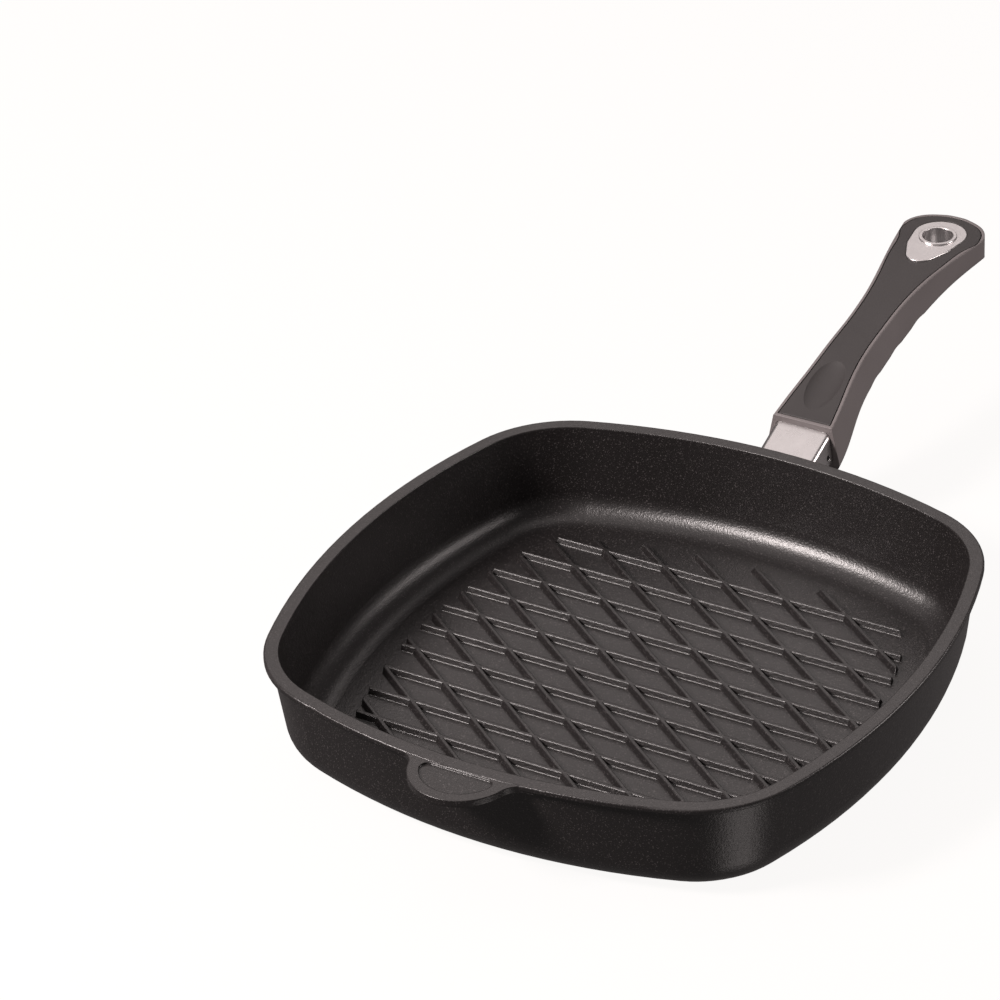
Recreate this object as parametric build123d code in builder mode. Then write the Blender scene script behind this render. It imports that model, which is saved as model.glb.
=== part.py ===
from build123d import *
import os
from math import atan2, cos, degrees, radians, sin, sqrt

os.makedirs("parts", exist_ok=True)

# Square grill pan of cast aluminium with a coated, ribbed floor, a turned base
# with an inlaid steel disc, and a quick-release handle. Millimetres, +Z up.
# The origin is the middle of the base on the hob, and the handle points to +X.

# Pan bowl
rim_half = 140.0              # middle of a side, from the middle of the pan
pan_height = 50.0
side_radius = 292.0           # the sides bow out a little
corner_radius = 55.5
lip_height = 2.2              # thin band round the rim
lip_step = 3.0                # how far the band stands out over the wall
wall_draft = 0.130            # the wall leans in by this much for each millimetre down
bottom_edge_radius = 16.0
rim_land = 6.4                # flat top of the rim
floor_top = 6.0
floor_fillet = 13.0
rim_round = 0.8

# Turned base and its disc
coated_underside = 1.6
foot_chamfer = 1.4
disc_radius = 110.2
foot_radius = disc_radius + 3.6
disc_thickness = 2.5
disc_chamfer = 0.9
disc_fit = 0.03
groove_width = 1.8
groove_depth = 1.2
mark_radius = 23.3            # plain ring engraved in the middle of the disc
mark_width = 0.9
mark_depth = 0.25

# Grill ribs
rib_pitch = 17.9
rib_angle = 35.7              # between the two families of ribs
rib_top = 1.5
rib_foot = 3.9
rib_height = 2.6
rib_zone_half = rim_half - 34.5

# Helper lug on the side away from the handle
lug_radius = 23.0
lug_middle = 2.0 - rim_half
lug_thickness = 3.2
lug_top = pan_height - 0.4
lug_blend = 10.0
lug_root = 33.0               # half the width of the root, inside the rim
lug_recess_radius = 18.0
lug_recess_edge = -rim_half - 0.2
lug_recess_depth = 0.9

# Handle axis: it leaves the boss under the rim and climbs
seat_x = rim_half + 3.5
seat_z = pan_height - 15.7
handle_climb = 20.0

# Boss, stub and tongue on the pan
boss_half = 18.5
boss_low = -9.8
boss_high = 10.2
boss_round = 3.0
key_half = 5.5
key_length = 3.6
stub_clearance = 0.15
stub_end = 31.0
tongue_half = 7.0
tongue_low = -1.0
tongue_high = 2.5
tongue_end = 49.0
notch_start = 40.0
notch_end = 44.5
notch_floor = 0.8

# Ferrule
ferrule_low = -7.5
ferrule_high = 7.3
ferrule_bottom_half = 15.8
ferrule_top_half = 13.6
ferrule_corner = 2.6
ferrule_wall = 1.2
ferrule_start = 0.0
ferrule_end = 32.5
seam_width = 0.4
drain_radius = 1.3

# Handle body: sections across it, from the collar to the hanging end
collar_x = seat_x + 20.5
section_along = [0, 6, 13, 26, 41, 56, 72, 88, 104, 120, 134, 145, 164]
section_top_rise = [18.2, 20.1, 22.6, 27.3, 32.0, 35.0, 37.7, 40.6, 43.1, 44.6, 44.9, 45.0, 45.1]
section_bottom_rise = [-3.3, -0.8, 2.6, 8.9, 13.7, 16.8, 19.7, 22.5, 26.2, 30.1, 32.3, 33.2, 33.8]
section_top_half = [14.9, 14.4, 13.6, 11.8, 10.5, 10.0, 10.0, 10.9, 13.2, 16.2, 18.9, 20.8, 21.6]
section_bottom_half = [19.4, 19.1, 18.3, 16.0, 13.9, 12.8, 12.3, 12.2, 13.5, 16.2, 18.9, 20.8, 21.6]
section_x = [collar_x + along for along in section_along]
section_top = [seat_z + rise for rise in section_top_rise]
section_bottom = [seat_z + rise for rise in section_bottom_rise]
section_top_round = 0.6
section_bottom_round = 3.0
handle_tip = collar_x + 161.0
tip_start = handle_tip - 19.0  # from here on the plan is a round end
tip_middle = handle_tip - 25.0
finger_grooves = [(52.0, 3.2, 15.6), (74.0, 6.4, 16.4), (97.0, 10.4, 16.6)]

# Top panel let into the handle body
panel_edge = 1.4              # body left standing round the panel
panel_gap = 0.5
panel_thickness = 2.6
panel_pocket = 2.7
dish_along = 21.2
dish_half_length = 18.0       # of the whole rounded form that the dish is cut with
dish_half_width = 8.9
dish_half_height = 3.4
dish_rise = 27.3
dish_slope = 19.0

# Hanging eye
eye_x = collar_x + 140.0
eye_bore = 7.25
eye_tube = 8.1
eye_fit = 0.03
eye_lip = 9.0
eye_lip_height = 0.7
eye_flange = 9.6
eye_flange_thickness = 1.0
plate_circles = [(2.3, 12.8), (-8.0, 11.1), (-18.5, 7.0)]   # along from the eye, and radius
plate_thickness = 1.2
plate_top = seat_z + 45.0
plate_gap = 0.1
flange_top = plate_top - 11.3

# Release lever, its pin, its latch and its spring
recess_start = 36.5
recess_tip = 69.0
recess_half = 9.8
lever_gap = 0.35
lever_front_gap = 0.6
lever_pin_u = 65.0
lever_pin_v = -2.2
pin_radius = 1.4
pin_clearance = 0.06
pin_half = 8.6
lever_pad_high = -3.9
lever_front_low = -5.4
lever_mid_u = 58.0
lever_mid_low = -6.2
lever_end_low = -6.4
lever_ridge_half = 2.2
lever_ridge_low = -7.2
lever_ridge_end = 64.0
lip_length = 3.0
lever_hub_high = 0.3
recess_ceiling = 1.2
latch_base = 0.9               # its foot is let into the lever's pad by this much
latch_fit = 0.05
latch_start = 40.25
latch_end = 44.0
latch_arm_inner = 7.4
latch_arm_outer = 8.9
latch_tooth_low = 0.95
latch_tooth_high = 3.3
cavity_ceiling = 5.9
spring_u = 54.0
spring_coil_radius = 2.3
spring_wire = 0.35
spring_top = 3.6
spring_turns = 5

climb_cos = cos(radians(handle_climb))
climb_sin = sin(radians(handle_climb))
along = (climb_cos, 0, climb_sin)
upward = (-climb_sin, 0, climb_cos)

# Three planes through the seat of the handle: across it, its side view, its plan
across_plane = Plane(origin=(seat_x, 0, seat_z), x_dir=(0, 1, 0), z_dir=along)
side_plane = Plane(origin=(seat_x, 0, seat_z), x_dir=along, z_dir=(0, -1, 0))
plan_plane = Plane(origin=(seat_x, 0, seat_z), x_dir=along, z_dir=upward)


def wall_half(level):
    """Half width of the outside of the wall at one height."""
    return rim_half - lip_step - (pan_height - lip_height - level) * wall_draft


def bowed_square(half, level):
    """Outline with bowed sides and round corners, parallel to the rim."""
    inset = rim_half - half
    swing = side_radius - rim_half
    reach = (sqrt(2 * (side_radius - corner_radius) ** 2 - swing**2) - swing) / 2
    turn = degrees(atan2(reach, reach + swing))
    with BuildSketch(Plane.XY.offset(level)) as outline:
        with BuildLine():
            for quarter in (0, 90, 180, 270):
                side_middle = Vector(-swing, 0).rotate(Axis.Z, quarter)
                corner_middle = Vector(reach, reach).rotate(Axis.Z, quarter)
                CenterArc(side_middle, side_radius - inset, quarter - turn, 2 * turn)
                CenterArc(corner_middle, corner_radius - inset, quarter + turn, 90 - 2 * turn)
        make_face()
    return outline.sketch


def sleeve_section(inset, distance):
    """Section of the ferrule, drawn in by the inset, across the handle axis."""
    lean = (ferrule_bottom_half - ferrule_top_half) / (ferrule_high - ferrule_low)
    low = ferrule_low + inset
    high = ferrule_high - inset
    sideways = inset * sqrt(1 + lean**2)
    low_half = ferrule_bottom_half - lean * inset - sideways
    high_half = ferrule_top_half + lean * inset - sideways
    with BuildSketch(across_plane.offset(distance)) as section:
        with BuildLine():
            Polyline(
                (-low_half, low), (low_half, low), (high_half, high), (-high_half, high), close=True
            )
        make_face()
        fillet(section.vertices(), ferrule_corner - inset)
    return section.sketch


def lug_recess(level):
    """D-shaped outline of the recess in the helper lug."""
    with BuildSketch(Plane.XY.offset(level)) as outline:
        with Locations((lug_middle, 0)):
            Circle(lug_recess_radius)
        with Locations((lug_recess_edge, 0)):
            Rectangle(60, 90, align=(Align.MIN, Align.CENTER), mode=Mode.SUBTRACT)
        fillet(outline.vertices(), 3.5)
    return outline.sketch


def handle_section(x, top, bottom, top_half, bottom_half):
    """Section of the handle body, upright across X."""
    with BuildSketch(Plane(origin=(x, 0, 0), x_dir=(0, 1, 0), z_dir=(1, 0, 0))) as section:
        with BuildLine():
            Polyline(
                (-bottom_half, bottom),
                (bottom_half, bottom),
                (top_half, top),
                (-top_half, top),
                close=True,
            )
        make_face()
        fillet(section.vertices().group_by(Axis.Y)[-1], section_top_round)
        fillet(section.vertices().group_by(Axis.Y)[0], section_bottom_round)
    return section.sketch


def tip_outline(inset):
    """Right-hand half of the round hanging end in plan, drawn in by the inset."""
    points = [(19.0, 21.3), (15.5, 20.9), (11.2, 19.8), (6.8, 17.0), (3.2, 12.2), (0.8, 6.2)]
    moved = []
    for back, y in points:
        x = handle_tip - back
        outward = Vector(x - tip_middle, y * 1.3).normalized()
        moved.append((x - outward.X * inset, y - outward.Y * inset))
    return moved + [(handle_tip - inset, 0)]


def handle_plan(inset):
    """Plan of the handle's top, drawn in by the inset, as a tall prism."""
    side = [(x, half - inset) for x, half in zip(section_x, section_top_half) if x < tip_start]
    side[0] = (collar_x + inset, side[0][1])
    tip = tip_outline(inset)
    with BuildPart() as prism:
        with BuildSketch(Plane.XY.offset(seat_z)) as plan:
            with BuildLine():
                upper = Spline(side + tip, tangents=[(1, -0.12), (0, -1)])
                lower = Spline([(x, -y) for x, y in side + tip], tangents=[(1, 0.12), (0, 1)])
                Line(lower @ 0, upper @ 0)
            make_face()
        extrude(amount=70)
    return prism.part


def top_slab(depth):
    """Everything less than this depth under the top of the handle."""
    with BuildPart() as slab:
        with BuildSketch(Plane.XZ) as profile:
            with BuildLine():
                under = Spline([(x, top - depth) for x, top in zip(section_x, section_top)])
                ceiling = plate_top + 20
                Polyline(
                    under @ 0, (section_x[0], ceiling), (section_x[-1], ceiling), under @ 1
                )
            make_face()
        extrude(amount=40, both=True)
    return slab.part


def eye_outline(margin):
    """Egg-shaped outline of the plate round the hanging eye, at its underside."""
    with BuildSketch(Plane.XY.offset(plate_top - plate_thickness)) as outline:
        for along_eye, radius in plate_circles:
            with Locations((eye_x + along_eye, 0)):
                Circle(radius + margin)
        make_hull()
    return outline.sketch


def ogive(inset, low, high, start=recess_start):
    """Pointed-arch prism of the lever recess, between two heights above the axis."""
    length = recess_tip - recess_start
    half = recess_half - inset
    tip = recess_tip - 1.6 * inset
    with BuildPart() as prism:
        with BuildSketch(plan_plane.offset(low)) as plan:
            with BuildLine():
                upper = Spline(
                    (start, half),
                    (recess_start + 0.3 * length, half),
                    (recess_start + 0.55 * length, half - 1.6),
                    (recess_start + 0.78 * length, half - 4.9),
                    (tip, 0),
                )
                lower = Spline(
                    (start, -half),
                    (recess_start + 0.3 * length, -half),
                    (recess_start + 0.55 * length, -half + 1.6),
                    (recess_start + 0.78 * length, -half + 4.9),
                    (tip, 0),
                )
                Line(lower @ 0, upper @ 0)
            make_face()
        extrude(amount=high - low)
    return prism.part


# Space inside the bowl, with its round floor edge
with BuildPart() as bowl_space:
    inner_top_half = rim_half - rim_land
    inner_floor_half = inner_top_half - (pan_height - floor_top) * wall_draft
    loft(
        sections=[bowed_square(inner_floor_half, floor_top), bowed_square(inner_top_half, pan_height)],
        ruled=True,
    )
    fillet(bowl_space.faces().sort_by(Axis.Z)[0].edges(), floor_fillet)

# Ribs: one family runs across the pan, the other crosses it at the rib angle
with BuildPart() as ribs:
    rib_low = floor_top - 0.5
    foot_half = rib_foot / 2 + 0.5 * (rib_foot - rib_top) / (2 * rib_height)
    slant_pitch = rib_pitch / sin(radians(rib_angle))
    for number in range(-5, 6):
        with BuildSketch(Plane.XZ.offset(-125)):
            with Locations((number * rib_pitch, 0)):
                Polygon(
                    (-foot_half, rib_low),
                    (foot_half, rib_low),
                    (rib_top / 2, floor_top + rib_height),
                    (-rib_top / 2, floor_top + rib_height),
                    align=None,
                )
        extrude(amount=250)
    for number in range(-7, 8):
        slant = Vector(sin(radians(rib_angle)), cos(radians(rib_angle)), 0)
        start = Vector(0, number * slant_pitch, 0) - slant * 190
        slant_plane = Plane(origin=start, x_dir=(slant.Y, -slant.X, 0), z_dir=slant)
        with BuildSketch(slant_plane):
            Polygon(
                (-foot_half, -rib_low),
                (foot_half, -rib_low),
                (rib_top / 2, -floor_top - rib_height),
                (-rib_top / 2, -floor_top - rib_height),
                align=None,
            )
        extrude(amount=380)
    extrude(bowed_square(rib_zone_half, rib_low), amount=rib_height + 0.5, mode=Mode.INTERSECT)

# Pan body: bowl, lip, lug, boss, stub and tongue in one casting
with BuildPart() as pan_casting:
    loft(
        sections=[
            bowed_square(wall_half(coated_underside), coated_underside),
            bowed_square(wall_half(pan_height - lip_height), pan_height - lip_height),
        ],
        ruled=True,
    )
    fillet(pan_casting.faces().sort_by(Axis.Z)[0].edges(), bottom_edge_radius)

    # Turned foot with its chamfer, and the pocket and groove for the disc
    with BuildSketch(Plane.XZ) as foot_profile:
        with BuildLine():
            Polyline(
                (0, 0),
                (foot_radius - foot_chamfer, 0),
                (foot_radius, foot_chamfer),
                (foot_radius, coated_underside + 1),
                (0, coated_underside + 1),
                close=True,
            )
        make_face()
    revolve(axis=Axis.Z)

    # Lip round the rim
    extrude(bowed_square(rim_half, pan_height - lip_height), amount=lip_height)
    fillet(pan_casting.faces().sort_by(Axis.Z)[-1].edges(), rim_round)

    # Helper lug, with a shallow recess in each face
    with BuildSketch(Plane.XY.offset(lug_top - lug_thickness)) as lug:
        with Locations((lug_middle, 0)):
            Circle(lug_radius)
        with Locations((lug_middle + 0.4, 0)):
            Rectangle(6, 2 * lug_root, align=(Align.MIN, Align.CENTER))
        fillet(
            lug.vertices().filter_by_position(Axis.X, lug_middle - 1, lug_middle + 2)
            .filter_by_position(Axis.Y, -30, 30),
            lug_blend,
        )
    extrude(amount=lug_thickness)
    extrude(lug_recess(lug_top - lug_recess_depth), amount=5, mode=Mode.SUBTRACT)
    extrude(
        lug_recess(lug_top - lug_thickness + lug_recess_depth), amount=-5, mode=Mode.SUBTRACT
    )

    # Boss under the rim, with a small key under the ferrule's edge
    with BuildSketch(across_plane):
        with Locations((0, (boss_low + boss_high) / 2)):
            RectangleRounded(2 * boss_half, boss_high - boss_low, boss_round)
    extrude(amount=-13)
    with BuildSketch(across_plane.offset(-2)):
        with Locations((0, boss_low)):
            Rectangle(
                2 * key_half, ferrule_low - boss_low - 0.1, align=(Align.CENTER, Align.MIN)
            )
    extrude(amount=key_length + 2)

    # Stub that fills the ferrule, and the tongue that the latch holds
    extrude(sleeve_section(ferrule_wall + stub_clearance, -2), amount=stub_end + 2)
    with BuildSketch(side_plane):
        with BuildLine():
            Polyline(
                (stub_end - 2, tongue_low),
                (tongue_end - 0.8, tongue_low),
                (tongue_end, tongue_low + 0.8),
                (tongue_end, tongue_high - 2.0),
                (tongue_end - 3.0, tongue_high),
                (notch_end, tongue_high),
                (notch_end, notch_floor),
                (notch_start, notch_floor),
                (notch_start, tongue_high),
                (stub_end - 2, tongue_high),
                close=True,
            )
        make_face()
    extrude(amount=tongue_half, both=True)

    # Hollow of the bowl, then the ribs on its floor
    add(bowl_space.part, mode=Mode.SUBTRACT)
    add(ribs.part)

    # Pocket for the disc with the groove round it
    with BuildSketch(Plane.XY):
        Circle(disc_radius + disc_fit)
    extrude(amount=disc_thickness + disc_fit, mode=Mode.SUBTRACT)
    with BuildSketch(Plane.XY):
        Circle(disc_radius + groove_width)
    extrude(amount=groove_depth, mode=Mode.SUBTRACT)
pan_casting.part.label = "pan_casting"
export_step(pan_casting.part, "parts/pan_casting.step")

# Steel disc in the base, flush with the turned foot
with BuildPart() as base_disc:
    with BuildSketch(Plane.XZ) as disc_profile:
        with BuildLine():
            Polyline(
                (0, 0),
                (mark_radius - mark_width, 0),
                (mark_radius - mark_width / 2, mark_depth),
                (mark_radius, 0),
                (disc_radius - disc_chamfer, 0),
                (disc_radius, disc_chamfer),
                (disc_radius, disc_thickness),
                (0, disc_thickness),
                close=True,
            )
        make_face()
    revolve(axis=Axis.Z)
base_disc.part.label = "base_disc"
export_step(base_disc.part, "parts/base_disc.step")

# Ferrule: a folded sheet sleeve with its seam underneath and a drain hole
with BuildPart() as ferrule:
    extrude(sleeve_section(0, ferrule_start), amount=ferrule_end - ferrule_start)
    extrude(
        sleeve_section(ferrule_wall, ferrule_start - 1),
        amount=ferrule_end - ferrule_start + 2,
        mode=Mode.SUBTRACT,
    )
    with BuildSketch(across_plane.offset(ferrule_start - 1)):
        with Locations((0, ferrule_low)):
            Rectangle(seam_width, 2 * ferrule_wall + 1)
    extrude(amount=ferrule_end - ferrule_start + 2, mode=Mode.SUBTRACT)
    with BuildSketch(side_plane.offset(5)):
        with Locations((17.5, -1.5)):
            Circle(drain_radius)
    extrude(amount=20, mode=Mode.SUBTRACT)
ferrule.part.label = "ferrule"
export_step(ferrule.part, "parts/ferrule.step")

# Whole outside of the handle, from the collar to the round hanging end
with BuildPart() as handle_form:
    loft(
        sections=[
            handle_section(*measures)
            for measures in zip(
                section_x, section_top, section_bottom, section_top_half, section_bottom_half
            )
        ]
    )
    with BuildSketch() as tip_plan:
        with BuildLine():
            upper_tip = Spline(tip_outline(0), tangents=[(1, -0.06), (0, -1)])
            lower_tip = Spline([(x, -y) for x, y in tip_outline(0)], tangents=[(1, 0.06), (0, 1)])
            Polyline(
                upper_tip @ 0,
                (tip_start - 10, 26),
                (collar_x - 4, 26),
                (collar_x - 4, -26),
                (tip_start - 10, -26),
                lower_tip @ 0,
            )
        make_face()
    extrude(amount=plate_top + 20, mode=Mode.INTERSECT)

# Handle body: the moulding that everything else sits in
with BuildPart() as handle_body:
    add(handle_form.part)

    # Finger grooves across the underside
    for groove_along, groove_rise, groove_radius in finger_grooves:
        with BuildSketch(Plane.XZ):
            with Locations((collar_x + groove_along, seat_z + groove_rise)):
                Circle(groove_radius)
        extrude(amount=30, both=True, mode=Mode.SUBTRACT)

    # Pocket for the top panel, with a gap all round it
    add(
        handle_plan(panel_edge) & top_slab(panel_pocket),
        mode=Mode.SUBTRACT,
    )

    # Socket for the ferrule and clearance for the tongue
    extrude(sleeve_section(-0.02, ferrule_start), amount=ferrule_end, mode=Mode.SUBTRACT)
    with BuildSketch(side_plane):
        with Locations((ferrule_end - 1, tongue_low - 0.5)):
            Rectangle(
                tongue_end + 2.5 - ferrule_end,
                tongue_high - tongue_low + 1.0,
                align=(Align.MIN, Align.MIN),
            )
    extrude(amount=tongue_half + 0.4, both=True, mode=Mode.SUBTRACT)

    # Recess for the release lever, open below
    add(ogive(0, -16, recess_ceiling), mode=Mode.SUBTRACT)

    # Room for the latch round the tongue, and for the lip that stops the lever
    with BuildSketch(side_plane):
        with Locations((latch_start - 0.9, lever_pad_high)):
            Rectangle(
                latch_end - latch_start + 2.0,
                cavity_ceiling - lever_pad_high,
                align=(Align.MIN, Align.MIN),
            )
    extrude(amount=latch_arm_outer + 0.5, both=True, mode=Mode.SUBTRACT)
    with BuildSketch(side_plane):
        with Locations((recess_start - 2.0, lever_pad_high - 1.9)):
            Rectangle(4.0, 5.4, align=(Align.MIN, Align.MIN))
    extrude(amount=6.0, both=True, mode=Mode.SUBTRACT)

    # Hole for the spring, above the lever
    with BuildSketch(plan_plane.offset(lever_pad_high)):
        with Locations((spring_u, 0)):
            Circle(spring_coil_radius + spring_wire + 0.45)
    extrude(amount=spring_top - lever_pad_high, mode=Mode.SUBTRACT)

    # Hole for the lever pin
    with BuildSketch(side_plane):
        with Locations((lever_pin_u, lever_pin_v)):
            Circle(pin_radius)
    extrude(amount=pin_half, both=True, mode=Mode.SUBTRACT)

    # Hanging eye: bore for the tube and a flat for its flange
    with BuildSketch(Plane.XY.offset(flange_top - 20)):
        with Locations((eye_x, 0)):
            Circle(eye_tube + eye_fit)
    extrude(amount=40, mode=Mode.SUBTRACT)
    with BuildSketch(Plane.XY.offset(flange_top)):
        with Locations((eye_x, 0)):
            Circle(eye_flange + 0.4)
    extrude(amount=-13, mode=Mode.SUBTRACT)
handle_body.part.label = "handle_body"
export_step(handle_body.part, "parts/handle_body.step")

# Top panel with the thumb dish
dish_place = Location((collar_x + dish_along, 0, seat_z + dish_rise), (0, -dish_slope, 0))
dish_tool = dish_place * scale(Sphere(1), by=(dish_half_length, dish_half_width, dish_half_height))
with BuildPart() as handle_top_panel:
    add(handle_form.part & handle_plan(panel_edge + panel_gap) & top_slab(panel_thickness))
    add(dish_tool, mode=Mode.SUBTRACT)
    extrude(eye_outline(plate_gap), amount=10, mode=Mode.SUBTRACT)
    with BuildSketch(Plane.XY.offset(flange_top)):
        with Locations((eye_x, 0)):
            Circle(eye_tube + eye_fit)
    extrude(amount=40, mode=Mode.SUBTRACT)
handle_top_panel.part.label = "handle_top_panel"
export_step(handle_top_panel.part, "parts/handle_top_panel.step")

# Teardrop plate round the hanging eye
with BuildPart() as eye_plate:
    extrude(eye_outline(0), amount=plate_thickness + 0.05)
    fillet(eye_plate.faces().sort_by(Axis.Z)[-1].edges(), 0.4)
    with BuildSketch(Plane.XY.offset(flange_top)):
        with Locations((eye_x, 0)):
            Circle(eye_tube + eye_fit)
    extrude(amount=40, mode=Mode.SUBTRACT)
eye_plate.part.label = "eye_plate"
export_step(eye_plate.part, "parts/eye_plate.step")

# Tube of the hanging eye: flange below, rolled lip above
with BuildPart() as eye_sleeve:
    lip_base = plate_top + 0.05
    with BuildSketch(Plane.XZ):
        with BuildLine():
            Polyline(
                (eye_x + eye_bore, flange_top - eye_flange_thickness),
                (eye_x + eye_flange, flange_top - eye_flange_thickness),
                (eye_x + eye_flange, flange_top),
                (eye_x + eye_tube, flange_top),
                (eye_x + eye_tube, lip_base),
                (eye_x + eye_lip, lip_base),
                (eye_x + eye_lip, lip_base + eye_lip_height),
                (eye_x + eye_bore, lip_base + eye_lip_height),
                close=True,
            )
        make_face()
    revolve(axis=Axis((eye_x, 0, 0), (0, 0, 1)))
    fillet(eye_sleeve.edges().group_by(Axis.Z)[-1], 0.25)
eye_sleeve.part.label = "eye_sleeve"
export_step(eye_sleeve.part, "parts/eye_sleeve.step")

# Release lever: a pad with a ridge, deep at the collar end and flush at its point
with BuildPart() as release_lever:
    lever_start = recess_start + lever_front_gap
    add(ogive(lever_gap, -16, lever_hub_high, start=lever_start))
    with BuildSketch(side_plane):
        with BuildLine():
            Polyline(
                (lever_start, lever_pad_high),
                (lever_start, lever_front_low),
                (lever_mid_u, lever_mid_low),
                (recess_tip + 1, lever_end_low),
                (recess_tip + 1, lever_hub_high),
                (lever_pin_u - 4, lever_hub_high),
                (lever_pin_u - 8, lever_pad_high),
                close=True,
            )
        make_face()
    extrude(amount=20, both=True, mode=Mode.INTERSECT)
    with BuildSketch(side_plane):
        with BuildLine():
            Polyline(
                (lever_start, lever_pad_high - 0.5),
                (lever_start, lever_ridge_low),
                (lever_mid_u - 6, lever_ridge_low + 0.3),
                (lever_ridge_end, lever_end_low + 0.1),
                (lever_ridge_end, lever_pad_high - 0.5),
                close=True,
            )
        make_face()
    extrude(amount=lever_ridge_half, both=True)
    with BuildSketch(side_plane):
        with Locations((recess_start - lip_length / 2, lever_pad_high - 1.5)):
            Rectangle(lip_length, 1.5, align=(Align.MIN, Align.MIN))
    extrude(amount=5.0, both=True)
    with BuildSketch(side_plane):
        with Locations((lever_pin_u, lever_pin_v)):
            Circle(pin_radius + pin_clearance)
    extrude(amount=20, both=True, mode=Mode.SUBTRACT)
    with BuildSketch(plan_plane.offset(lever_pad_high)):
        with Locations(((latch_start + latch_end) / 2, 0)):
            Rectangle(
                latch_end - latch_start + 2 * latch_fit, 2 * (latch_arm_outer + latch_fit)
            )
    extrude(amount=-latch_base - latch_fit, mode=Mode.SUBTRACT)
release_lever.part.label = "release_lever"
export_step(release_lever.part, "parts/release_lever.step")

# Pin that the lever turns on
with BuildPart() as lever_pin:
    with BuildSketch(side_plane):
        with Locations((lever_pin_u, lever_pin_v)):
            Circle(pin_radius)
    extrude(amount=pin_half, both=True)
lever_pin.part.label = "lever_pin"
export_step(lever_pin.part, "parts/lever_pin.step")

# Steel latch: a stirrup round the tongue, with its tooth in the tongue's notch
with BuildPart() as latch_stirrup:
    with BuildSketch(across_plane.offset(latch_start)):
        with Locations((0, lever_pad_high - latch_base)):
            Rectangle(
                2 * latch_arm_outer,
                latch_tooth_high - lever_pad_high + latch_base,
                align=(Align.CENTER, Align.MIN),
            )
        with Locations((0, lever_pad_high)):
            Rectangle(
                2 * latch_arm_inner,
                latch_tooth_low - lever_pad_high,
                align=(Align.CENTER, Align.MIN),
                mode=Mode.SUBTRACT,
            )
    extrude(amount=latch_end - latch_start)
latch_stirrup.part.label = "latch_stirrup"
export_step(latch_stirrup.part, "parts/latch_stirrup.step")

# Coil spring between the lever and the body
with BuildPart() as lever_spring:
    spring_length = spring_top - lever_pad_high - 2 * spring_wire
    spring_base = plan_plane.offset(lever_pad_high + spring_wire).from_local_coords((spring_u, 0, 0))
    with BuildLine():
        coil = Helix(
            pitch=spring_length / spring_turns,
            height=spring_length,
            radius=spring_coil_radius,
            center=spring_base,
            direction=upward,
        )
    with BuildSketch(Plane(origin=coil @ 0, z_dir=coil % 0)):
        Circle(spring_wire)
    sweep()
lever_spring.part.label = "lever_spring"
export_step(lever_spring.part, "parts/lever_spring.step")
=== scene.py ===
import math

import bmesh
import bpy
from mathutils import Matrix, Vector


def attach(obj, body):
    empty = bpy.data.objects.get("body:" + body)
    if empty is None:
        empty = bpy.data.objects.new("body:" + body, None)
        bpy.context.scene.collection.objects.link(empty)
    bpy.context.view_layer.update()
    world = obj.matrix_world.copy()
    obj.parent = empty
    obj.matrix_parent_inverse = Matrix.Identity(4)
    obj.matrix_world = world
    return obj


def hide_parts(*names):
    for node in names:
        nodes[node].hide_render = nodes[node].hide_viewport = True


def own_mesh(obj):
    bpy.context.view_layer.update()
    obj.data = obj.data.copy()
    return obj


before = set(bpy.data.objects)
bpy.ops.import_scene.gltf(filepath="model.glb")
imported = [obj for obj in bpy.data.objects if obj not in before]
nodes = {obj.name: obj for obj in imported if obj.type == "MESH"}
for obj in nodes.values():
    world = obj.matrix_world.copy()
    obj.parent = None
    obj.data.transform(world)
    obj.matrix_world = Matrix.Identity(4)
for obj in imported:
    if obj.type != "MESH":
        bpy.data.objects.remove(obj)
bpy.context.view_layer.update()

# %% [markdown]
# # A square grill pan
#
# The CAD model gives the pan, its handle and the small parts of the handle's
# latch, each as its own object in metres. This lesson dresses them: a speckled
# cooking coating, a turned steel base, a satin steel sleeve and a moulded grip.
# The frame was loaded above.

print("nodes:", ", ".join(sorted(nodes)))

# The handle climbs by this many degrees.
handle_climb = 20.0

# %% [markdown]
# ## Camera
#
# A photograph of a product is usually taken from far away with a long lens,
# which keeps the sides of a square pan nearly parallel. The place and turn of
# the camera were found from the corners and bows of the rim, and they are
# written down here as plain numbers.

# %% Camera
camera_data = bpy.data.cameras.new("camera")
camera_data.lens = 169.03
camera_data.sensor_width = 36.0
camera_data.clip_start = 0.05
camera_data.clip_end = 40.0
camera = bpy.data.objects.new("camera", camera_data)
bpy.context.collection.objects.link(camera)
camera.location = (-1.46106, -0.85316, 1.14700)
camera.rotation_euler = [math.radians(angle) for angle in (58.3239, 2.6190, -59.5706)]
bpy.context.scene.camera = camera

# %% [markdown]
# ## Shader arithmetic
#
# A material here is a small sum over the surface: how far a point is from the
# middle, how strong the grain is, where the bare metal starts. Python can write
# such sums directly when a socket knows what plus and times mean, so one small
# class wraps a socket and adds the Math nodes.


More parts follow.
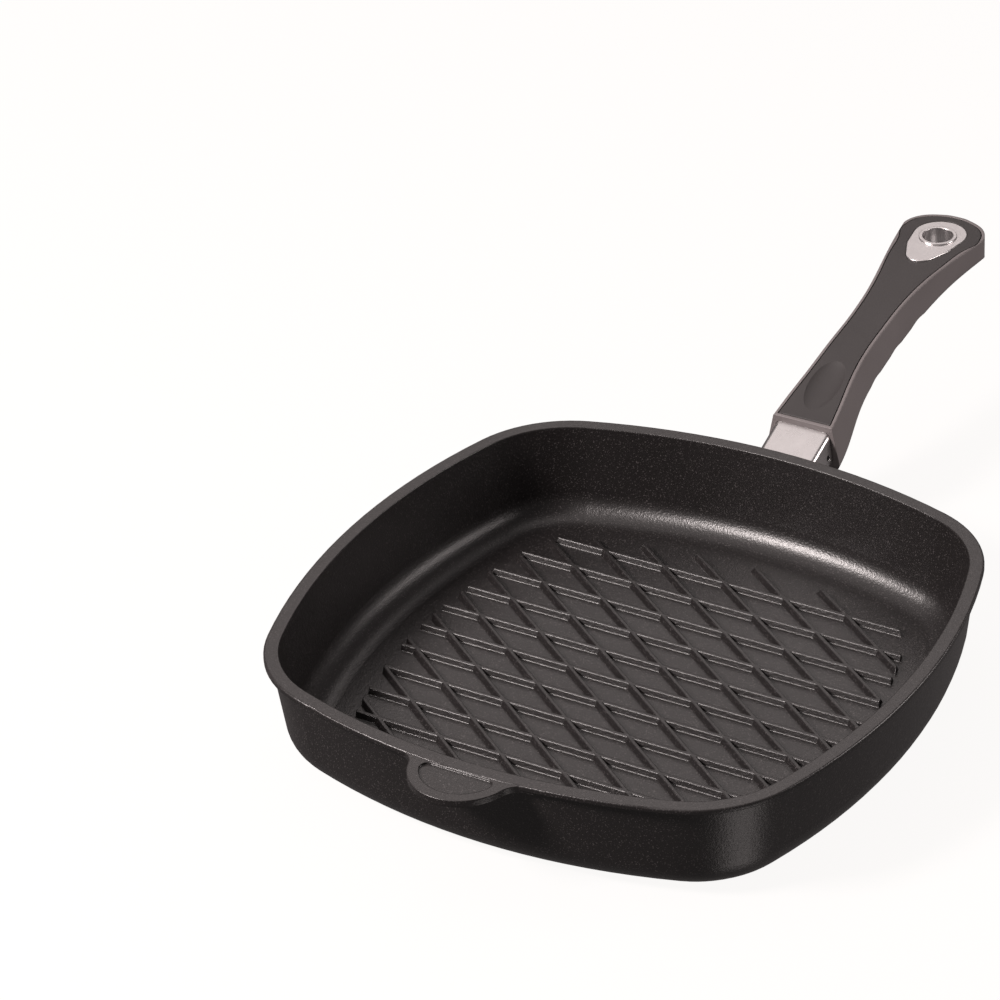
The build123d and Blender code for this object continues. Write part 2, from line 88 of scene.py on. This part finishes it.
# %% A socket that does arithmetic
class Signal:
    """One number that changes over the surface."""

    def __init__(self, tree, socket):
        self.tree = tree
        self.socket = socket

    def math(self, operation, *values):
        """Adds a Math node over signals and plain numbers."""
        node = self.tree.nodes.new("ShaderNodeMath")
        node.operation = operation
        for slot, value in zip(node.inputs, values):
            if isinstance(value, Signal):
                self.tree.links.new(value.socket, slot)
            else:
                slot.default_value = value
        return Signal(self.tree, node.outputs[0])

    def __add__(self, other):
        return self.math("ADD", self, other)

    def __sub__(self, other):
        return self.math("SUBTRACT", self, other)

    def __rsub__(self, other):
        return self.math("SUBTRACT", other, self)

    def __mul__(self, other):
        return self.math("MULTIPLY", self, other)

    def __gt__(self, other):
        return self.math("GREATER_THAN", self, other)

    def __lt__(self, other):
        return self.math("LESS_THAN", self, other)

    def root(self):
        return self.math("SQRT", self)

    def sine(self):
        return self.math("SINE", self)

    def rise(self, low, high):
        """Runs smoothly from 0 at low to 1 at high."""
        node = self.tree.nodes.new("ShaderNodeMapRange")
        node.interpolation_type = "SMOOTHSTEP"
        self.tree.links.new(self.socket, node.inputs["Value"])
        node.inputs["From Min"].default_value = low
        node.inputs["From Max"].default_value = high
        return Signal(self.tree, node.outputs["Result"])

    __radd__ = __add__


# %% A finish: one material and its nodes
class Finish:
    """A material that is being made."""

    def __init__(self, name):
        self.material = bpy.data.materials.new(name)
        self.material.use_nodes = True
        self.tree = self.material.node_tree
        self.tree.nodes.clear()
        self.place = self.node("ShaderNodeTexCoord").outputs["Object"]

    def node(self, kind, settings=None, sockets=None):
        """Adds a node, gives it its settings, then the values or links of its sockets."""
        node = self.tree.nodes.new(kind)
        for name, value in (settings or {}).items():
            setattr(node, name, value)
        for name, value in (sockets or {}).items():
            if isinstance(value, Signal):
                value = value.socket
            if isinstance(value, bpy.types.NodeSocket):
                self.tree.links.new(value, node.inputs[name])
            else:
                node.inputs[name].default_value = value
        return node

    def signal(self, node, output=0):
        """One output of a node, ready for arithmetic."""
        return Signal(self.tree, node.outputs[output])

    def axes(self):
        """The three coordinates of a point, in metres."""
        split = self.node("ShaderNodeSeparateXYZ", None, {"Vector": self.place})
        return [self.signal(split, axis) for axis in ("X", "Y", "Z")]

    def noise(self, grain, detail=2.0, place=None, rough=0.5):
        """Smooth random grain; grain is its size in metres."""
        node = self.node(
            "ShaderNodeTexNoise",
            None,
            {
                "Vector": place or self.place,
                "Scale": 1.0 / grain,
                "Detail": detail,
                "Roughness": rough,
            },
        )
        return self.signal(node, "Fac")

    def mix(self, share, first, second):
        """A colour between two colours."""
        node = self.node("ShaderNodeMix", {"data_type": "RGBA"})
        slots = (node.inputs[0], node.inputs[6], node.inputs[7])
        for slot, value in zip(slots, (share, first, second)):
            if isinstance(value, Signal):
                value = value.socket
            if isinstance(value, bpy.types.NodeSocket):
                self.tree.links.new(value, slot)
            else:
                slot.default_value = value
        return node.outputs[2]

    def bump(self, height, depth, normal=None):
        """Tilts the surface by a height between 0 and 1, depth metres high."""
        sockets = {"Height": height, "Distance": depth, "Strength": 1.0}
        if normal is not None:
            sockets["Normal"] = normal
        return self.node("ShaderNodeBump", None, sockets).outputs["Normal"]

    def edge(self, radius):
        """Normals as if the sharp edges were rounded by this radius."""
        return self.node("ShaderNodeBevel", {"samples": 8}, {"Radius": radius}).outputs["Normal"]

    def face(self):
        """The normal of the mesh itself."""
        return self.node("ShaderNodeNewGeometry").outputs["Normal"]

    def vector(self, operation, sockets):
        """A Vector Math node."""
        return self.node("ShaderNodeVectorMath", {"operation": operation}, sockets)

    def surface(self, sockets):
        """Closes the material with one shader and hands it over."""
        shader = self.node("ShaderNodeBsdfPrincipled", None, sockets)
        output = self.node("ShaderNodeOutputMaterial")
        self.tree.links.new(shader.outputs[0], output.inputs["Surface"])
        return self.material


def grey(value, warm=0.0):
    """A grey, made a little warmer by lifting red."""
    return (value * (1 + warm), value, value, 1.0)


# %% [markdown]
# ## The cooking coating
#
# The casting is sprayed inside and out with a dark, hard coating. Close up it
# is a fine orange peel with light flecks in it. Noises of different grain give
# the peel, the flecks and a faint cloud in the colour. The machined foot under
# the pan is left bare, so the same material turns to bright metal there.

# %% Coating
foot_inner_radius = 0.1100
foot_outer_radius = 0.1142
foot_height = 0.0030
# Heights over which the top of the rim turns lighter: partly wear, partly a painted highlight of
# the light the rim catches.
rim_wear_and_sheen_from = 0.0489
rim_wear_and_sheen_full = 0.0498
peel_grain = 0.0013
fleck_grain = 0.00070


def coating():
    finish = Finish("coated_casting")
    x, y, z = finish.axes()
    radius = (x * x + y * y).root()
    bare = (radius > foot_inner_radius) * (radius < foot_outer_radius) * (z < foot_height)
    peel = finish.noise(peel_grain, 3.0)
    fleck_noise = finish.noise(fleck_grain, 1.0)
    flecks = fleck_noise.rise(0.62, 0.70)
    cloud = finish.noise(0.030, 4.0)
    # The top of the rim is painted lighter, partly as wear and partly as a painted highlight.
    rim_wear_and_sheen = z.rise(rim_wear_and_sheen_from, rim_wear_and_sheen_full) * 0.35
    dark = finish.mix(cloud, grey(0.0060, 0.16), grey(0.0100, 0.14))
    coated = finish.mix(flecks * 0.45, dark, grey(0.090, 0.10))
    coated = finish.mix(rim_wear_and_sheen, coated, grey(0.024, 0.10))
    rings = (radius * 9000.0).sine()
    colour = finish.mix(bare, coated, grey(0.74, 0.03))
    grain = (peel * 0.7 + fleck_noise * 0.55) * (1 - bare)
    normal = finish.bump(grain + rings * 0.05 * bare, 0.00014, finish.edge(0.0008))
    return finish.surface(
        {
            "Base Color": colour,
            "Metallic": bare,
            "Roughness": 0.28 + peel * 0.12 - bare * 0.14,
            "Normal": normal,
            "Specular IOR Level": 0.5,
        }
    )


coated_casting = coating()

# %% [markdown]
# ## Turned steel
#
# A lathe leaves rings far finer than a pixel, and together they spread a light
# into two opposite wedges. A bump can't show rings that fine, so the normal is
# tilted directly, outwards or inwards, by a noise that only depends on how far
# a point is from the middle.

# %% Turned base
def turned():
    finish = Finish("turned_steel")
    x, y, _ = finish.axes()
    radius = (x * x + y * y).root()

    def rings(scale, detail):
        settings = {"noise_dimensions": "1D"}
        sockets = {"W": radius, "Scale": scale, "Detail": detail}
        return finish.signal(finish.node("ShaderNodeTexNoise", settings, sockets), "Fac")

    fine = rings(7000.0, 3.0)
    wide = rings(420.0, 4.0)
    flat = finish.node("ShaderNodeCombineXYZ", None, {"X": x, "Y": y})
    outward = finish.vector("NORMALIZE", {0: flat.outputs[0]})
    tilt = (fine - 0.5) * 0.55
    tilted = finish.vector("SCALE", {0: outward.outputs[0], "Scale": tilt})
    in_world = finish.node(
        "ShaderNodeVectorTransform",
        {"vector_type": "VECTOR", "convert_from": "OBJECT", "convert_to": "WORLD"},
        {0: tilted.outputs[0]},
    )
    leaning = finish.vector("ADD", {0: finish.face(), 1: in_world.outputs[0]})
    normal = finish.vector("NORMALIZE", {0: leaning.outputs[0]})
    return finish.surface(
        {
            "Base Color": finish.mix(wide, grey(0.56, 0.02), grey(0.76, 0.02)),
            "Metallic": 1.0,
            "Roughness": 0.17 + wide * 0.14,
            "Normal": normal.outputs[0],
        }
    )


turned_steel = turned()

# %% [markdown]
# ## Satin steel
#
# The sleeve at the neck, the plate and the eye's lining are stainless steel
# with a fine satin brush. Long, thin noise along the handle gives the brushing.

# %% Satin steel
def satin(name, climb, light, roughness):
    finish = Finish(name)
    stretched = finish.node(
        "ShaderNodeMapping",
        {"vector_type": "POINT"},
        {
            "Vector": finish.place,
            "Rotation": (0.0, math.radians(climb), 0.0),
            "Scale": (60.0, 3200.0, 3200.0),
        },
    ).outputs[0]
    brushing = finish.noise(1.0, 3.0, stretched, 0.6)
    smudge = finish.noise(0.006, 3.0)
    normal = finish.bump(brushing, 0.000012, finish.edge(0.0004))
    share = brushing * 0.5 + smudge * 0.5
    return finish.surface(
        {
            "Base Color": finish.mix(share, grey(light * 0.70, 0.03), grey(light, 0.03)),
            "Metallic": 1.0,
            "Roughness": roughness + smudge * 0.12,
            "Normal": normal,
        }
    )


plate_climb = 4.0
ferrule_steel = satin("ferrule_steel", handle_climb, 0.66, 0.22)
eye_steel = satin("eye_steel", plate_climb, 0.74, 0.26)
spring_steel = satin("spring_steel", handle_climb, 0.55, 0.3)

# %% [markdown]
# ## Moulded grip
#
# The handle is a matte, heat-proof moulding with a fine spark-eroded grain. Its
# edges are painted lighter and made smoother: partly wear where hands polish them,
# partly a painted highlight along each edge. The edge mask compares the true
# normal with the rounded one, which differ only close to an edge.

# %% Grip mouldings
def moulding(name, light, grain_depth, roughness):
    finish = Finish(name)
    grain = finish.noise(0.00050, 3.0)
    cloud = finish.noise(0.020, 3.0)
    rounded = finish.edge(0.0005)
    close = finish.vector("DOT_PRODUCT", {0: rounded, 1: finish.face()})
    # Close to an edge the colour is painted lighter: partly wear, partly a painted highlight.
    edge_wear_and_sheen = (1 - finish.signal(close, "Value")).rise(0.02, 0.30)
    plain = finish.mix(cloud, grey(light * 0.88, 0.12), grey(light * 1.12, 0.12))
    colour = finish.mix(edge_wear_and_sheen * 0.5, plain, grey(light * 1.8, 0.10))
    return finish.surface(
        {
            "Base Color": colour,
            "Roughness": roughness + grain * 0.14 - edge_wear_and_sheen * 0.1,
            "Normal": finish.bump(grain, grain_depth, rounded),
            "Specular IOR Level": 0.45,
        }
    )


# The grip body is painted over four times lighter than the top panel and the finger piece: a
# painted highlight for the light that falls on its sides.
grip_plastic = moulding("grip_plastic", 0.120, 0.00006, 0.46)
panel_plastic = moulding("panel_plastic", 0.026, 0.00005, 0.50)
lever_plastic = moulding("lever_plastic", 0.026, 0.00004, 0.42)

# %% [markdown]
# ## Each part gets its finish
#
# The parts that came with the frame keep their shape. Only the material in
# their first slot changes.

# %% Finishes on the CAD parts
finishes = {
    "pan_casting": coated_casting,
    "base_disc": turned_steel,
    "ferrule": ferrule_steel,
    "handle_body": grip_plastic,
    "handle_top_panel": panel_plastic,
    "eye_plate": eye_steel,
    "eye_sleeve": eye_steel,
    "release_lever": lever_plastic,
    "lever_pin": eye_steel,
    "latch_stirrup": ferrule_steel,
}
for name, material in finishes.items():
    part = nodes[name]
    if part.data.materials:
        part.data.materials[0] = material
    else:
        part.data.materials.append(material)
print("finished parts:", len(finishes))

# %% [markdown]
# ## Return spring
#
# The coil spring behind the finger piece gets shorter when that is pressed, and
# a rigid part can't. Its wire is drawn again here, with its end turns wound flat;
# it hangs on the pan in place of the frame's spring, which is hidden.

# %% Return spring
climb = math.radians(handle_climb)
handle_seat = Vector((0.1435, 0.0, 0.0343))
along = Vector((math.cos(climb), 0.0, math.sin(climb)))
upward = Vector((-math.sin(climb), 0.0, math.cos(climb)))
sideways = Vector((0.0, 1.0, 0.0))
spring_middle = handle_seat + along * 0.054
coil_radius = 0.0023
wire_radius = 0.00035
# Heights are taken from the line through the seat along the handle.
coil_low = -0.0039 + wire_radius
coil_high = 0.0036 - wire_radius
flat_turns = 0.45
rising_turns = 5.0
steps_in_turn = 28


def wire_point(turn):
    """Middle of the wire after so many turns."""
    angle = turn * math.tau
    share = min(max((turn - flat_turns) / rising_turns, 0.0), 1.0)
    height = coil_low + (coil_high - coil_low) * share
    outward = along * math.cos(angle) + sideways * math.sin(angle)
    return spring_middle + outward * coil_radius + upward * height


steps = round((rising_turns + 2 * flat_turns) * steps_in_turn)
wire = bpy.data.curves.new("return_spring_wire", "CURVE")
wire.dimensions = "3D"
wire.bevel_depth = wire_radius
wire.bevel_resolution = 3
wire.use_fill_caps = True
line = wire.splines.new("POLY")
line.points.add(steps)
for step, point in enumerate(line.points):
    point.co = (*wire_point(step / steps_in_turn), 1.0)
wire_object = bpy.data.objects.new("return_spring_wire", wire)
bpy.context.collection.objects.link(wire_object)
bpy.context.view_layer.update()
depsgraph = bpy.context.evaluated_depsgraph_get()
spring_mesh = bpy.data.meshes.new_from_object(wire_object.evaluated_get(depsgraph))
bpy.data.objects.remove(wire_object)
spring_mesh.name = "return_spring"
welded = bmesh.new()
welded.from_mesh(spring_mesh)
bmesh.ops.remove_doubles(welded, verts=welded.verts, dist=1e-7)
bmesh.ops.recalc_face_normals(welded, faces=welded.faces)
welded.to_mesh(spring_mesh)
welded.free()
spring_mesh.materials.clear()
spring_mesh.materials.append(spring_steel)
return_spring = bpy.data.objects.new("return_spring", spring_mesh)
bpy.context.collection.objects.link(return_spring)
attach(return_spring, "pan")
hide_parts("lever_spring")
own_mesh(return_spring)
print("return spring:", len(spring_mesh.polygons), "faces")

# %% [markdown]
# ## Studio
#
# A pale floor that only the camera sees, and only from above, keeps the picture
# clean and lets light come from below too, as it does on a glass table. A wide
# lamp overhead fills the bowl, and a small strong one at the front left gives
# the long highlight in the bowl's far corner.

# %% Floor
floor_reach = 6.0
floor_depth = 0.0006
corner_signs = ((-1, -1), (1, -1), (1, 1), (-1, 1))
corners = [(x * floor_reach, y * floor_reach, -floor_depth) for x, y in corner_signs]
backdrop_colour = (0.99, 0.975, 0.965, 1.0)
floor_mesh = bpy.data.meshes.new("floor")
floor_mesh.from_pydata(corners, [], [(0, 1, 2, 3)])
floor = bpy.data.objects.new("floor", floor_mesh)
bpy.context.collection.objects.link(floor)
floor_finish = Finish("floor_white")
rays = floor_finish.node("ShaderNodeLightPath")
behind = floor_finish.signal(floor_finish.node("ShaderNodeNewGeometry"), "Backfacing")
seen = floor_finish.signal(rays, "Is Camera Ray") * (1 - behind)
paint = floor_finish.node("ShaderNodeBsdfDiffuse", None, {"Color": (0.96, 0.95, 0.94, 1.0)})
glow = floor_finish.node("ShaderNodeEmission", None, {"Color": backdrop_colour, "Strength": 1.0})
clear = floor_finish.node("ShaderNodeBsdfTransparent")


def blend(share, first, second):
    """A shader between two shaders."""
    sockets = {0: share, 1: first.outputs[0], 2: second.outputs[0]}
    return floor_finish.node("ShaderNodeMixShader", None, sockets)


shown = blend(0.95, paint, glow)
either = blend(seen, clear, shown)
floor_finish.node("ShaderNodeOutputMaterial", None, {"Surface": either.outputs[0]})
floor_mesh.materials.append(floor_finish.material)

# %% World
world = bpy.data.worlds.new("studio")
bpy.context.scene.world = world
world.use_nodes = True
world_nodes = world.node_tree.nodes
world_links = world.node_tree.links
world_nodes.clear()


def glowing(colour, strength):
    """The output of a background of one colour."""
    node = world_nodes.new("ShaderNodeBackground")
    node.inputs["Color"].default_value = colour
    node.inputs["Strength"].default_value = strength
    return node.outputs[0]


path = world_nodes.new("ShaderNodeLightPath")
sky = glowing((1.0, 0.91, 0.90, 1.0), 0.16)
backdrop = glowing(backdrop_colour, 1.0)
choose = world_nodes.new("ShaderNodeMixShader")
world_output = world_nodes.new("ShaderNodeOutputWorld")
for slot, source in enumerate((path.outputs["Is Camera Ray"], sky, backdrop)):
    world_links.new(source, choose.inputs[slot])
world_links.new(choose.outputs[0], world_output.inputs["Surface"])


# %% Lamps
lamp_colour = (1.0, 0.91, 0.89)


def lamp(name, place, aim, size, watts):
    """A soft rectangular lamp at one place, turned to shine on another."""
    data = bpy.data.lights.new(name, "AREA")
    data.shape = "RECTANGLE"
    data.size = size[0]
    data.size_y = size[1]
    data.energy = watts
    data.color = lamp_colour
    light = bpy.data.objects.new(name, data)
    bpy.context.collection.objects.link(light)
    light.location = place
    direction = Vector(aim) - Vector(place)
    light.rotation_euler = direction.to_track_quat("-Z", "Y").to_euler()


base_middle = (0, 0, 0)
pan_middle = (0.03, 0.0, 0.02)
handle_middle = (0.24, 0, 0.06)
handle_waist = (0.25, 0, 0.05)
lamp("top_light", (0.25, 0.35, 1.6), pan_middle, (2.0, 1.6), 10.0)
lamp("front_left_light", (-1.1, 0.9, 1.2), pan_middle, (0.4, 0.4), 60.0)
lamp("back_light", (1.5, 0.8, 1.3), handle_waist, (1.2, 1.0), 4.0)
lamp("handle_light", (0.50, -0.75, 0.25), handle_middle, (0.4, 0.3), 3.6)
lamp("under_light", (-0.4, -1.2, -1.2), base_middle, (0.7, 0.7), 3.0)

bpy.context.scene.view_settings.view_transform = "Standard"
